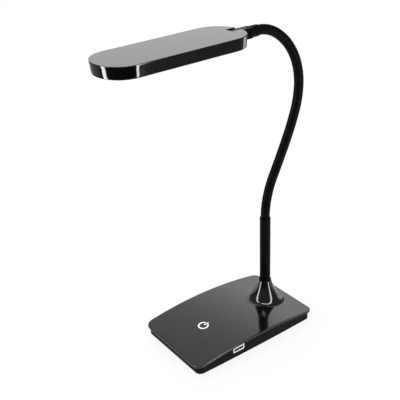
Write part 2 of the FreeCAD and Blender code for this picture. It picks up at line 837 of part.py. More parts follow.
def usb_socket():
    face = side_wall_x(usb_y) - s.usb_recess
    back = face - s.usb_depth
    half = s.usb_width / 2
    low, high = s.usb_underside, s.usb_underside + s.usb_height
    sheet_metal = box("usb_block", (back, usb_y - half, low), (face, usb_y + half, high))
    inner_low = (back + s.usb_sheet, usb_y - half + s.usb_sheet, low + s.usb_sheet)
    inner_high = (face + s.usb_sheet, usb_y + half - s.usb_sheet, high - s.usb_sheet)
    node("usb_shell", cut("usb_shell", sheet_metal, box("usb_cavity", inner_low, inner_high)))
    tongue_top = high - s.usb_sheet - s.tongue_drop
    tongue_low = tongue_top - s.tongue_thickness
    start = back + s.usb_sheet
    half = s.tongue_width / 2
    end = start + s.tongue_length
    node("usb_tongue", box("usb_tongue", (start, usb_y - half, tongue_low), (end, usb_y + half, tongue_top)))
    strips = []
    for i in range(4):
        middle = usb_y + s.contact_pitch * (i - 1.5)
        strip_low = (start, middle - s.contact_width / 2, tongue_low - s.contact_thickness)
        strip_high = (end - s.contact_width / 2, middle + s.contact_width / 2, tongue_low)
        strips.append(box(f"usb_contact_{i}", strip_low, strip_high))
    return node("usb_contacts", group("usb_contacts", strips))


def supply_socket():
    face = half_length - s.cover_overhang - s.seam_gap
    back = face - s.jack_length
    half = s.jack_width / 2
    block = box("jack_block", (-half, back, floor_top), (half, face, floor_top + s.jack_height))
    middle = floor_top + s.jack_height / 2
    start = face - s.jack_bore_depth
    bore = cylinder("jack_bore", s.jack_bore_radius, s.jack_bore_depth, ZERO, start, middle, axis="y")
    node("dc_jack", cut("dc_jack", block, bore))
    reach = s.jack_bore_depth - s.jack_pin_radius
    return node("dc_pin", cylinder("dc_pin", s.jack_pin_radius, reach, ZERO, start, middle, axis="y"))


# Stem


def ring(name, outer, inner, low, height):
    """An upright ring round the stem's axis."""
    disc = cylinder(name + "_disc", outer, height, ZERO, stem_y, low)
    hole = cylinder(name + "_hole", inner, height, ZERO, stem_y, low)
    return cut(name, disc, hole)


def stem():
    inner = s.stem_radius - s.stem_wall
    node("stem_tube", ring("stem_tube", s.stem_radius, inner, s.stem_foot, s.stem_top - s.stem_foot))
    node("stem_collar", ring("stem_collar", s.collar_radius, s.stem_radius + s.stem_gap, s.socket_top, s.collar_height))
    washer = ring("stem_washer", s.washer_radius, s.stem_radius + s.stem_gap, ballast_top, s.washer_thickness)
    node("stem_washer", washer)
    nut_low = ballast_top + s.washer_thickness
    blank = doc.addObject("Part::Prism", "nut_blank")
    blank.Polygon = 6
    bind(blank, Circumradius=s.nut_flats / math.sqrt(3), Height=s.nut_height)
    place(blank, ZERO, stem_y, nut_low)
    hole = cylinder("nut_hole", s.stem_radius + s.stem_gap, s.nut_height, ZERO, stem_y, nut_low)
    node("stem_nut", cut("stem_nut", blank, hole))
    plug_low = s.stem_top - s.root_insert - s.plug_length
    outer = inner - s.plug_gap
    plug = ring("neck_root_plug", outer, s.spiral_radius + s.plug_gap, plug_low, s.plug_length)
    return node("neck_root_plug", plug)


# Gooseneck: a wound steel spiral in its sleeve, parted into links that meet at round faces on hinge axes


def link_turns():
    turns = [getattr(s, f"link_turn_{i}").value for i in range(1, LINKS)]
    return turns + [-90 - s.head_pitch.value - sum(turns)]


def neck_stations():
    """The point and the lean of the neck's centreline at the foot of each link, and at its end."""
    y, z, lean = stem_y.value, s.stem_top.value, 0.0
    stations = [(Vector(0, y, z), lean)]
    for turn in link_turns():
        bend = s.link_length.value / math.radians(turn)
        before, lean = math.radians(lean), lean + turn
        after = math.radians(lean)
        y += bend * (math.cos(before) - math.cos(after))
        z += bend * (math.sin(after) - math.sin(before))
        stations.append((Vector(0, y, z), lean))
    return stations


def hinge_axis(joint, lean):
    """The joints bend the neck fore and aft and sideways in turn."""
    if joint % 2 == 0:
        return Vector(1, 0, 0)
    return Vector(0, math.cos(math.radians(lean)), -math.sin(math.radians(lean)))


def heading(lean):
    return Vector(0, math.sin(math.radians(lean)), math.cos(math.radians(lean)))


def neck_rods():
    """The neck's straight lengths of tube, mitred into each other, as one rod for each link."""
    stations = neck_stations()
    foot, end = stations[0][0], stations[-1][0]
    held = s.hinge_reach - s.ferrule_near - s.ferrule_length + s.ferrule_bore_depth - s.seam_gap
    points, links = [foot - Vector(0, 0, s.root_insert.value), foot], [0]
    for link, ((start, lean), turn) in enumerate(zip(stations, link_turns()), 1):
        bend = s.link_length.value / math.radians(turn)
        before = math.radians(lean)
        lengths = math.ceil(abs(turn) / s.largest_kink.value)
        for step in range(1, lengths + 1):
            angle = math.radians(lean + turn * step / lengths)
            forward, upward = math.cos(before) - math.cos(angle), math.sin(angle) - math.sin(before)
            points.append(start + Vector(0, forward, upward) * bend)
            links.append(link)
    points.append(end + heading(stations[-1][1]) * held.value)
    links.append(LINKS)
    runs = [(high - low).normalize() for low, high in zip(points, points[1:])]
    radius = s.sleeve_radius.value
    rods = {}
    neighbours = zip(runs[:1] + runs, runs, runs[1:] + runs[-1:])
    for link, low, high, (before, run, after) in zip(links, points, points[1:], neighbours):
        rod = Part.makeCylinder(radius, (high - low).Length + radius * 2, low - run * radius, run)
        rod = rod.cut(Part.makeCylinder(radius * 3, radius * 3, low, -(before + run)))
        rod = rod.cut(Part.makeCylinder(radius * 3, radius * 3, high, run + after))
        rods.setdefault(link, []).append(rod)
    return [lengths[0].multiFuse(lengths[1:]) if lengths[1:] else lengths[0] for lengths in rods.values()]


def knuckle(joint, radius):
    """A round across the neck on a joint's hinge axis."""
    point, lean = neck_stations()[joint]
    axis = hinge_axis(joint, lean)
    reach = s.sleeve_radius.value * 2
    return Part.makeCylinder(radius, reach * 2, point - axis * reach, axis)


def neck_link(i, rods):
    """One link, hollowed at its foot for the round end of the link before, and with a round end of its own."""
    link, ball = rods[i], s.knuckle_round.value
    if i == 0:
        bare = s.root_insert.value + s.plug_length.value
        foot = neck_stations()[0][0] - Vector(0, 0, bare)
        link = link.fuse(Part.makeCylinder(s.spiral_radius.value, s.plug_length.value, foot))
    else:
        link = link.cut(knuckle(i - 1, ball + s.knuckle_gap.value))
    if i < LINKS:
        link = link.fuse(rods[i + 1].common(knuckle(i, ball)))
    expected = math.pi * s.sleeve_radius.value**2 * (s.link_length.value - s.knuckle_gap.value)
    if 0 < i < LINKS and abs(link.Volume / expected - 1) > 0.02:
        raise RuntimeError(f"link {i} has lost an end: {link.Volume} for {expected}")
    return link


def gooseneck():
    rods = neck_rods()
    for i in range(LINKS + 1):
        item = doc.addObject("Part::Feature", f"neck_link_{i:02d}")
        item.Shape = neck_link(i, rods).removeSplitter()
        node(f"neck_link_{i:02d}", item)


# Hinge


def pitched():
    return FreeCAD.Rotation(Vector(1, 0, 0), s.head_pitch.value)


def hinge_point():
    end, _ = neck_stations()[-1]
    return end - pitched().multVec(Vector(0, s.hinge_reach.value, 0))


def hinge_pieces():
    """The ferrule with its knuckle, the pin and the washers, made about the hinge axis and then pitched."""
    body = new_body("neck_ferrule")
    profile = new_sketch(body, "YZ")
    far = s.ferrule_near + s.ferrule_length
    corners = [
        (s.ferrule_near, ZERO),
        (far, ZERO),
        (far, s.ferrule_radius),
        (s.ferrule_near, s.ferrule_radius),
    ]
    draw_outline(profile, corners)
    barrel = body.newObject("PartDesign::Revolution", "ferrule_barrel")
    barrel.Profile = profile
    barrel.ReferenceAxis = (profile, ["H_Axis"])
    doc.recompute()
    tongue = new_sketch(body, "YZ")
    draw_rectangle(tongue, (ZERO, -s.knuckle_radius), (s.ferrule_near + s.ferrule_length / 4, s.knuckle_radius))
    pad(body, tongue, s.knuckle_width, middle=True)
    knuckle = new_sketch(body, "YZ")
    draw_circle(knuckle, ZERO, ZERO, s.knuckle_radius)
    pad(body, knuckle, s.knuckle_width, middle=True)
    bore = new_sketch(body, "XZ", -far)
    draw_circle(bore, ZERO, ZERO, s.sleeve_radius + s.ferrule_gap)
    pocket(body, bore, s.ferrule_bore_depth, backward=True)
    pin_hole = new_sketch(body, "YZ")
    draw_circle(pin_hole, ZERO, ZERO, s.pin_radius + s.pin_gap)
    pocket(body, pin_hole, middle=True)
    node("neck_ferrule", body)
    pin = cylinder("hinge_pin_rod", s.pin_radius, s.pin_length, -s.pin_length / 2, axis="x")
    node("hinge_pin", group("hinge_pin", [pin]))
    washers = []
    play = (s.notch_width / 2 - s.knuckle_width / 2 - s.hinge_washer_thickness) / 2
    right = s.knuckle_width / 2 + play
    for side, start in (("right", right), ("left", -right - s.hinge_washer_thickness)):
        name = f"washer_{side}"
        disc = cylinder(name + "_disc", s.hinge_washer_radius, s.hinge_washer_thickness, start, axis="x")
        hole_radius = s.pin_radius + s.pin_gap
        hole = cylinder(name + "_hole", hole_radius, s.hinge_washer_thickness, start, axis="x")
        washers.append(cut(name, disc, hole))
    node("hinge_washers", group("hinge_washers", washers))
    for name in ("neck_ferrule", "hinge_pin", "hinge_washers"):
        nodes[name].Placement = FreeCAD.Placement(hinge_point(), pitched())


# Head, made flat with its origin at the middle of its top face, and then hung on the hinge


def head_screw_spots():
    across = s.head_width / 2 - s.head_screw_side_inset
    along = s.head_length / 2 - s.head_screw_end_inset
    return [(x, y) for x in (-across, across) for y in (-along, along)]


def head_shell():
    body = new_body("head_shell")
    top = new_sketch(body, "XY")
    draw_slab(top, s.head_width, s.head_length, s.head_end_radius, s.head_corner_radius)
    block = pad(body, top, s.head_thickness, backward=True)
    bind(block, TaperAngle=-s.head_side_draft)
    doc.recompute()

    def on_top(edge):
        return all(abs(v.Point.z) < 0.001 for v in edge.Vertexes)

    bevel_edges(body, block, s.head_edge_bevel, on_top)
    wall = s.head_side_wall
    room = new_sketch(body, "XY", -s.head_thickness)
    end, corner = s.head_end_radius - wall, s.head_corner_radius - wall
    draw_slab(room, s.head_width - wall * 2, s.head_length - wall * 2, end, corner)
    pocket(body, room, s.head_thickness - s.head_top_wall, backward=True)
    cheeks = new_sketch(body, "XY", -s.head_top_wall / 2)
    half = s.notch_width / 2 + s.cheek_width
    far = s.head_length / 2
    draw_rectangle(cheeks, (-half, far - s.cheek_depth), (half, far - s.cheek_width / 2))
    pad(body, cheeks, s.head_thickness - s.head_top_wall / 2, backward=True)
    notch = new_sketch(body, "XY")
    half = s.notch_width / 2
    inner = far - s.hinge_setback - s.knuckle_radius - s.notch_clearance
    draw_rectangle(notch, (-half, inner), (half, far + s.cut_reach))
    pocket(body, notch)
    pin_hole = new_sketch(body, "YZ")
    draw_circle(pin_hole, far - s.hinge_setback, -s.hinge_depth, s.pin_radius + s.thread_gap)
    pocket(body, pin_hole, s.pin_length + s.hole_gap * 2, middle=True)
    posts = new_sketch(body, "XY", -s.head_top_wall / 2)
    for x, y in head_screw_spots():
        draw_sides(posts, x, y, s.head_boss_radius)
    pad(body, posts, s.head_thickness - s.bezel_thickness - s.head_top_wall / 2 - s.seam_gap, backward=True)
    pilots = new_sketch(body, "XY", -s.head_thickness)
    for x, y in head_screw_spots():
        draw_sides(pilots, x, y, s.head_screw_radius + s.thread_gap)
    pocket(body, pilots, s.head_screw_length + s.head_screw_head_height + s.hole_gap, backward=True)
    return node("head_shell", body)


def head_bezel():
    body = new_body("head_bezel")
    inset = s.head_side_wall + s.bezel_gap
    outline = new_sketch(body, "XY", -s.head_thickness)
    end, corner = s.head_end_radius - inset, s.head_corner_radius - inset
    draw_slab(outline, s.head_width - inset * 2, s.head_length - inset * 2, end, corner)
    pad(body, outline, s.bezel_thickness)
    window = new_sketch(body, "XY", -s.head_thickness)
    draw_slab(window, window_width, window_length, s.window_end_radius, s.window_corner_radius)
    pocket(body, window, s.bezel_thickness, backward=True)
    hinge_room = new_sketch(body, "XY", -s.head_thickness)
    half = s.notch_width / 2 + s.cheek_width + s.bezel_gap
    far = s.head_length / 2
    draw_rectangle(hinge_room, (-half, far - s.cheek_depth - s.bezel_gap), (half, far))
    pocket(body, hinge_room, s.bezel_thickness, backward=True)
    holes = new_sketch(body, "XY", -s.head_thickness)
    for x, y in head_screw_spots():
        draw_sides(holes, x, y, s.head_screw_radius + s.hole_gap)
    pocket(body, holes, s.bezel_thickness, backward=True)
    seats = new_sketch(body, "XY", -s.head_thickness)
    for x, y in head_screw_spots():
        draw_sides(seats, x, y, s.head_screw_head_radius + s.hole_gap)
    pocket(body, seats, s.head_screw_head_height, backward=True)
    return node("head_bezel", body)


def diffuser():
    body = new_body("diffuser")
    seat = s.bezel_thickness - s.head_thickness
    flange = new_sketch(body, "XY", seat)
    out = s.diffuser_flange
    sizes = (window_width + out * 2, window_length + out * 2, s.window_end_radius + out, s.window_corner_radius + out)
    draw_slab(flange, *sizes)
    pad(body, flange, s.diffuser_flange_thickness)
    lens = new_sketch(body, "XY", seat)
    gap = s.bezel_gap
    sizes = (window_width - gap * 2, window_length - gap * 2, s.window_end_radius - gap, s.window_corner_radius - gap)
    draw_slab(lens, *sizes)
    pad(body, lens, s.bezel_thickness - s.diffuser_recess, backward=True)
    return node("diffuser", body)


def head_electrics():
    plate_low = -s.head_top_wall - s.heat_plate_thickness
    half, reach = window_width / 2, window_length / 2
    plate = box("heat_sheet", (-half, -reach, plate_low), (half, reach, -s.head_top_wall))
    node("heat_plate", group("heat_plate", [plate]))
    board_low = plate_low - s.led_board_thickness
    half, reach = led_board_width / 2, led_board_length / 2
    board = box("led_laminate", (-half, -reach, board_low), (half, reach, plate_low))
    node("led_board", group("led_board", [board]))
    chips = []
    for row in range(LED_ROWS):
        for column in range(LEDS_PER_ROW):
            x = led_board_width / LED_ROWS * (row - (LED_ROWS - 1) / 2)
            y = led_board_length / LEDS_PER_ROW * (column - (LEDS_PER_ROW - 1) / 2)
            low = (x - s.led_width / 2, y - s.led_length / 2, board_low - s.led_height)
            high = (x + s.led_width / 2, y + s.led_length / 2, board_low)
            chips.append(box(f"led_{row}_{column}", low, high))
    return node("leds", group("leds", chips))


def head_screws():
    seat = s.head_screw_head_height - s.head_thickness
    sizes = (s.head_screw_length, s.head_screw_radius, s.head_screw_head_radius, s.head_screw_head_height)
    screws = [screw(f"head_screw_{i}", x, y, seat, True, *sizes) for i, (x, y) in enumerate(head_screw_spots())]
    return node("head_screws", group("head_screws", screws))


def head():
    before = set(nodes)
    head_shell()
    head_bezel()
    diffuser()
    head_electrics()
    head_screws()
    hinge = Vector(0, (s.head_length / 2 - s.hinge_setback).value, -s.hinge_depth.value)
    middle = hinge_point() - pitched().multVec(hinge)
    for name in set(nodes) - before:
        item = nodes[name]
        item.Placement = FreeCAD.Placement(middle, pitched()).multiply(item.Placement)


def check_and_write():
    """Stops on any failed object, open solid or cut that took nothing away, then writes one file per sub-part."""
    doc.recompute()
    for item in doc.Objects:
        if "Invalid" in item.State or "Error" in item.State:
            raise RuntimeError(f"{item.Name} failed: {item.State}")
        if item.TypeId in ("PartDesign::Pocket", "PartDesign::SubtractiveLoft"):
            if item.Shape.Volume > item.BaseFeature.Shape.Volume - 0.01:
                raise RuntimeError(f"{item.Name} cuts nothing")
    os.makedirs("parts", exist_ok=True)
    for name, item in sorted(nodes.items()):
        shape = item.Shape
        if shape.isNull() or not shape.isValid() or not shape.Solids:
            raise RuntimeError(f"{name} has no valid solid")
        if item.Label != name:
            raise RuntimeError(f"{name} has the label {item.Label}")
        shape.exportStep(f"parts/{name}.step")
        print(f"{name}: {len(shape.Solids)} solid(s), {shape.Volume:.1f} mm3")


base_pad()
base_tray()
touch_switch(base_cover())
ballast_plate()
base_screws()
control_board()
board_parts()
usb_socket()
supply_socket()
stem()
gooseneck()
hinge_pieces()
head()
check_and_write()
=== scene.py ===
import json
import math

import bmesh
import bpy
from mathutils import Matrix, Vector


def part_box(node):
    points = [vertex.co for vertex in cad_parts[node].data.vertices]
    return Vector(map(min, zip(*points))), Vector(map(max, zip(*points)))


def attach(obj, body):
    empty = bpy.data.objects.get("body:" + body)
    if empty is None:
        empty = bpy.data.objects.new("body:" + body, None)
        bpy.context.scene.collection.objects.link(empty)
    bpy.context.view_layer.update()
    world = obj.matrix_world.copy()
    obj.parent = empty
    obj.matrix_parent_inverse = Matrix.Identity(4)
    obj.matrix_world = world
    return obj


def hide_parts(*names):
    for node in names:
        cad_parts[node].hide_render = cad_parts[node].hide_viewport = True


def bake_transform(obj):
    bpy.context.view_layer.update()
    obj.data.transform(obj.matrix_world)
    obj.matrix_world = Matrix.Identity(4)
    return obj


# Gooseneck desk lamp, dressed for the photograph. Metres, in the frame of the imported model, and angles in degrees.

MM = 0.001
MICRON = 0.000001
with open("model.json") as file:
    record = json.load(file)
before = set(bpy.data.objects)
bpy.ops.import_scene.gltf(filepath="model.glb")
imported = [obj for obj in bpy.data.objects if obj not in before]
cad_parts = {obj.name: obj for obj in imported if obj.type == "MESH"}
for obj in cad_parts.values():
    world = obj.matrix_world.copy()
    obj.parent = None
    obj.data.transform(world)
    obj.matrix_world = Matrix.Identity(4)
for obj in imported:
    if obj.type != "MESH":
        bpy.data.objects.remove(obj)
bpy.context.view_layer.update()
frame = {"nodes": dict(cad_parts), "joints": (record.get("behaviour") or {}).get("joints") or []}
joints = {j["name"]: j for j in frame["joints"]}

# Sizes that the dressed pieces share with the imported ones. The base's widths and the neck's radius are a hair under
# theirs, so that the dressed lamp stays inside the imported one's box.
BASE_LENGTH = 163.1 * MM
BASE_FRONT_WIDTH = 100.88 * MM
BASE_BACK_WIDTH = 97.88 * MM
BASE_SIDE_BULGE = 1.2 * MM
BASE_CORNER_RADIUS = 8.8 * MM
BASE_LEAST_CORNER = 0.5 * MM
COVER_TOP = 18.7 * MM
CROWN_RISE = 7.1 * MM
COVER_THICKNESS = 2.4 * MM
COVER_EDGE_ROUND = 0.5 * MM
LOWER_EDGE_ROUND = 0.4 * MM
STEM_Y = 52.0 * MM
STEM_BORE = 6.05 * MM
STEM_SEAT_DEPTH = 14.0 * MM
SOCKET_TOP = 40.5 * MM
SOCKET_TOP_RADIUS = 6.9 * MM
SOCKET_FOOT_RADIUS = 23.0 * MM
SOCKET_POWER = 2.0
SOCKET_LEVEL = 0.42
ICON_Y = -37.4 * MM
ICON_RADIUS = 6.1 * MM
ICON_STROKE = 1.9 * MM
ICON_GAP_ANGLE = 50.0
ICON_BAR_START = 1.4 * MM
ICON_BAR_END = 7.0 * MM
ICON_RISE = 0.04 * MM
ICON_DEPTH = 0.6 * MM
TONGUE_SETBACK = 0.1 * MM
TONGUE_BEVEL = 0.15 * MM
MOUTH_CORNER_RADIUS = 0.6 * MM
LINKS = 10
LINK_LENGTH = 24.62 * MM
NECK_RADIUS = 5.05 * MM
HINGE_REACH = 29.2 * MM
HEAD_PITCH = 1.6
HEAD_LENGTH = 155.6 * MM
HEAD_WIDTH = 61.1 * MM
HEAD_THICKNESS = 11.7 * MM
HEAD_END_RADIUS = 36.0 * MM
HEAD_CORNER_RADIUS = 24.0 * MM
HEAD_DRAFT = 4.9
HEAD_WALL = 2.8 * MM
HEAD_TOP_WALL = 1.6 * MM
HEAD_EDGE_ROUND = 0.7 * MM
HINGE_SETBACK = 6.4 * MM
HINGE_DEPTH = 6.3 * MM
NOTCH_WIDTH = 10.6 * MM
NOTCH_DEPTH = 12.2 * MM
CHEEK_WIDTH = 6.5 * MM
CHEEK_DEPTH = 14.0 * MM

# Section of the flange round the USB socket's mouth, in millimetres: out from the mouth's edge, and forward of its
# face.
FLANGE_SECTION = (
    (-0.4, -0.3), (-0.4, 0.1), (-0.35, 0.3), (-0.2, 0.42), (0.8, 0.42),
    (0.9, 0.38), (0.85, 0.31), (0.0, 0.31), (0.0, -0.3),
)

# Shares of the trumpet's height that have a ring of points, closer together where it flares out, and those of its
# hollow.
SOCKET_SHARES = (
    0.9985, 0.99, 0.96, 0.9, 0.82, 0.74, 0.66, 0.58, 0.5, 0.42, 0.35, 0.29, 0.24, 0.2, 0.165, 0.135,
    0.11, 0.09, 0.072, 0.057, 0.044, 0.033, 0.024, 0.016, 0.01, 0.005, 0.002,
)
HOLLOW_SHARES = (0.05, 0.12, 0.25, 0.4)

# How finely the dressed pieces are divided.
EDGE_STEPS = 6
PLATE_STEPS = 28
BASE_SIDE_STEPS = 72
BASE_END_STEPS = 40
BASE_CORNER_STEPS = 14
ICON_STEPS = 72
ICON_BAR_STEPS = 6
FLANGE_CORNER_STEPS = 6
HEAD_SIDE_STEPS = 24
HEAD_CORNER_STEPS = 36
HEAD_END_STEPS = 40
SLEEVE_STEPS = 24
SLEEVE_SIDES = 48
FLOOR_SIDES = 96

# Where the neck's sleeve starts and ends, counted in joints.
SLEEVE_START = -0.2
SLEEVE_END = 10.3

# The walls that reflections show: bearing from +X, and how far to its sides each is whole and has faded out.
WHITE_WALL = (150, 18, 38)
GREY_WALL = (70, 45, 60)
LOW_WALL = (-160, 20, 35)
# Share of the white wall's full light at each height. All heights are sines of elevation.
WHITE_SHADES = (
    (-0.4, 0.1), (-0.15, 0.25), (0.0, 0.55), (0.27, 0.72),
    (0.45, 1.0), (0.55, 0.83), (0.66, 0.6), (0.78, 0.5),
)
WHITE_LIGHT = 2.0
GREY_LIGHT = 0.22
LOW_LIGHT = 0.35
LOW_FADE = (-0.15, -0.3)
DIM_LIGHT = 0.3
DIM_FADE = (0.0, 0.25)
ROOM_LIGHT = 1.0

FLOOR_RADIUS = 0.55
FLOOR_DROP = -0.1 * MM
FLOOR_COLOUR = (0.9, 0.9, 0.9)
FLOOR_WHITENING = 0.85

KEY_PLACE = (-0.5, -0.1, 1.6)
KEY_AIM = (0, 0, 0.1)
KEY_SIZE = 1.2
KEY_WATTS = 6

# Strip lamps: name, one end, the other end, width and watts.
STRIP_FOOT, STRIP_TOP, BACK_STRIP_TOP = -0.3, 1.7, 0.1
LEFT_POST, RIGHT_POST, BACK_POST = (-0.4, -1.0), (0.936, 0.31), (0.0, 0.95)
STRIPS = (
    ("strip_left", (*LEFT_POST, STRIP_FOOT), (*LEFT_POST, STRIP_TOP), 0.22, 22),
    ("strip_right", (*RIGHT_POST, STRIP_FOOT), (*RIGHT_POST, STRIP_TOP), 0.2, 20),
    ("strip_over", (*LEFT_POST, STRIP_TOP), (*RIGHT_POST, STRIP_TOP), 0.2, 20),
    ("strip_back", (*BACK_POST, STRIP_FOOT), (*BACK_POST, BACK_STRIP_TOP), 0.44, 1.2),
)

# The photograph's camera. The lens and the sensor are in millimetres.
CAMERA_PLACE = (0.517648, -0.400427, 0.482507)
CAMERA_RIGHT = (0.59206439, 0.80496797, -0.0385529)
CAMERA_UP = (-0.33589203, 0.28997309, 0.89615409)
CAMERA_SENSOR = 36
CAMERA_LENS = 63.29


# Materials


def noise(tree, scale, detail=3.0):
    """Noise in the model's own metres, so that it keeps its size on every piece."""
    place = tree.nodes.new("ShaderNodeTexCoord")
    texture = tree.nodes.new("ShaderNodeTexNoise")
    texture.inputs["Scale"].default_value = scale
    texture.inputs["Detail"].default_value = detail
    tree.links.new(place.outputs["Object"], texture.inputs["Vector"])
    return texture.outputs["Fac"]


def vary_colour(tree, shader, scale, dark, light):
    blend = tree.nodes.new("ShaderNodeValToRGB")
    for stop, position, colour in zip(blend.color_ramp.elements, (0.35, 0.65), (dark, light)):
        stop.position = position
        stop.color = (*colour, 1)
    tree.links.new(noise(tree, scale), blend.inputs["Fac"])
    tree.links.new(blend.outputs["Color"], shader.inputs["Base Color"])


def vary_roughness(tree, shader, scale, low, high):
    node = tree.nodes.new("ShaderNodeMapRange")
    for name, number in (("From Min", 0.3), ("From Max", 0.7), ("To Min", low), ("To Max", high)):
        node.inputs[name].default_value = number
    tree.links.new(noise(tree, scale), node.inputs["Value"])
    tree.links.new(node.outputs["Result"], shader.inputs["Roughness"])


def add_grain(tree, shader, scale, height):
    """A fine moulded texture that stands this high."""
    bump = tree.nodes.new("ShaderNodeBump")
    bump.inputs["Strength"].default_value = 1.0
    bump.inputs["Distance"].default_value = height
    tree.links.new(noise(tree, scale, 2.0), bump.inputs["Height"])
    tree.links.new(bump.outputs["Normal"], shader.inputs["Normal"])


def paint(name, dark, light, spots, roughness, metallic=0.0, specular=0.5, scatter=None, grain=None):
    """A material whose colour wanders between dark and light, over noise of the scale spots.

    roughness is a number, or the noise's scale, the least and the most. scatter is the share of the light that goes
    under the surface and how deep, and grain the noise's scale and the height of a fine texture. What reads no nodes
    gets the middle of the two colours.
    """
    material = bpy.data.materials.new(name)
    material.use_nodes = True
    tree = material.node_tree
    shader = tree.nodes["Principled BSDF"]
    shader.inputs["Metallic"].default_value = metallic
    shader.inputs["Specular IOR Level"].default_value = specular
    shader.inputs["Base Color"].default_value = (*((d + l) / 2 for d, l in zip(dark, light)), 1)
    vary_colour(tree, shader, spots, dark, light)
    if isinstance(roughness, tuple):
        vary_roughness(tree, shader, *roughness)
    else:
        shader.inputs["Roughness"].default_value = roughness
    if scatter:
        share, depth = scatter
        shader.inputs["Subsurface Weight"].default_value = share
        shader.inputs["Subsurface Radius"].default_value = (depth, depth, depth)
    if grain:
        add_grain(tree, shader, *grain)
    return material


black_gloss = paint(
    "gloss_black_moulding", (0.0022, 0.0022, 0.0024), (0.0034, 0.0034, 0.0036), 60,
    roughness=(90, 0.06, 0.09), grain=(1500, 2 * MICRON))
black_cover = paint(
    "cover_black_moulding", (0.0022, 0.0022, 0.0024), (0.0034, 0.0034, 0.0036), 60,
    roughness=(120, 0.09, 0.13), grain=(2500, 2.5 * MICRON))
black_satin = paint(
    "satin_black_sleeve", (0.0016, 0.0016, 0.0016), (0.003, 0.003, 0.003), 150,
    roughness=(200, 0.4, 0.5), specular=0.035, grain=(3000, 4 * MICRON))
black_coated = paint(
    "coated_black_metal", (0.0016, 0.0016, 0.0016), (0.003, 0.003, 0.003), 150,
    roughness=(200, 0.3, 0.42), specular=0.045, grain=(2200, 4 * MICRON))
black_tray = paint(
    "tray_black_moulding", (0.002, 0.002, 0.002), (0.004, 0.004, 0.004), 80,
    roughness=(140, 0.42, 0.54), specular=0.07, grain=(2600, 4 * MICRON))
rubber = paint(
    "pad_rubber", (0.024, 0.024, 0.024), (0.038, 0.038, 0.038), 90,
    roughness=0.8, grain=(1800, 50 * MICRON))
steel_plated = paint(
    "plated_steel", (0.66, 0.66, 0.67), (0.78, 0.78, 0.79), 300,
    roughness=(500, 0.2, 0.36), metallic=1.0)
# A lighter copy of the plated steel for the flange round the USB socket's mouth: painted highlight that whitens the
# lip's reflection of the floor.
lit_flange_steel = paint(
    "flange_painted_highlight", (0.87, 0.87, 0.87), (0.92, 0.92, 0.92), 300,
    roughness=(300, 0.2, 0.25), metallic=1.0)
# A dark copy of the plated steel for the USB socket's shell: painted shade for the port's shadowed inside.
shaded_shell_steel = paint(
    "usb_shell_painted_shade", (0.18, 0.18, 0.185), (0.26, 0.26, 0.265), 300,
    roughness=0.4, metallic=1.0)
gold = paint("gilt_contact", (0.78, 0.55, 0.22), (0.87, 0.65, 0.3), 400, roughness=0.25, metallic=1.0)
copper = paint("copper_foil", (0.7, 0.36, 0.23), (0.82, 0.47, 0.32), 300, roughness=0.35, metallic=1.0)
aluminium = paint("rolled_aluminium", (0.74, 0.75, 0.76), (0.84, 0.85, 0.86), 200, roughness=0.4, metallic=1.0)
white_plastic = paint("white_insulator", (0.9, 0.9, 0.89), (0.95, 0.95, 0.94), 200, roughness=0.4)
light_guide = paint(
    "white_light_guide", (0.86, 0.87, 0.88), (0.92, 0.93, 0.94), 300,
    roughness=0.35, scatter=(0.2, 1 * MM))
frosted_window = paint(
    "frosted_diffuser", (0.88, 0.88, 0.86), (0.92, 0.92, 0.9), 150,
    roughness=0.5, scatter=(0.3, 4 * MM), grain=(2500, 20 * MICRON))
board_green = paint("solder_mask", (0.015, 0.1, 0.045), (0.03, 0.17, 0.08), 350, roughness=0.3)
board_white = paint("white_solder_mask", (0.78, 0.79, 0.78), (0.86, 0.87, 0.86), 250, roughness=0.35)
chip_yellow = paint("phosphor_chip", (0.85, 0.65, 0.15), (0.95, 0.8, 0.3), 900, roughness=0.4)
chip_black = paint("component_resin", (0.015, 0.015, 0.016), (0.03, 0.03, 0.032), 500, roughness=0.5)
ballast_grey = paint(
    "cast_ballast", (0.13, 0.13, 0.14), (0.24, 0.24, 0.25), 120,
    roughness=0.6, metallic=0.7, grain=(700, 150 * MICRON))

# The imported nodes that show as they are. Those that aren't named here are steel.
NODE_MATERIALS = {
    "base_pad": rubber,
    "base_tray": black_tray,
    "touch_electrode": copper,
    "ballast_plate": ballast_grey,
    "control_board": board_green,
    "board_parts": chip_black,
    "usb_shell": shaded_shell_steel,
    "usb_contacts": gold,
    "dc_pin": gold,
    "dc_jack": black_tray,
    "stem_tube": black_coated,
    "stem_collar": black_coated,
    "neck_root_plug": black_tray,
    "neck_ferrule": black_coated,
    "head_bezel": black_tray,
    "diffuser": frosted_window,
    "heat_plate": aluminium,
    "led_board": board_white,
    "leds": chip_yellow,
}
for name, item in frame["nodes"].items():
    item.data.materials.clear()
    item.data.materials.append(NODE_MATERIALS.get(name, steel_plated))


# Meshes


def finish_mesh(name, mesh, smooth=True):
    data = bpy.data.meshes.new(name)
    mesh.to_mesh(data)
    mesh.free()
    for polygon in data.polygons:
        polygon.use_smooth = smooth
    piece = bpy.data.objects.new(name, data)
    bpy.context.scene.collection.objects.link(piece)
    return piece


def dress(piece, material, slot, body, *nodes):
    """Gives a piece its material and the body it rides on, and hides the nodes it stands for. slot is not used."""
    piece.data.materials.append(material)
    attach(piece, body)
    if nodes:
        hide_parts(*nodes)


def join_rings(mesh, rings, closed=False):
    """Quads between rings with equally many points."""
    rings = [[mesh.verts.new(point) for point in ring] for ring in rings]
    pairs = list(zip(rings, rings[1:])) + ([(rings[-1], rings[0])] if closed else [])
    for low, high in pairs:
        for k in range(len(low)):
            after = (k + 1) % len(low)
            mesh.faces.new((low[k], low[after], high[after], high[k]))
    return rings


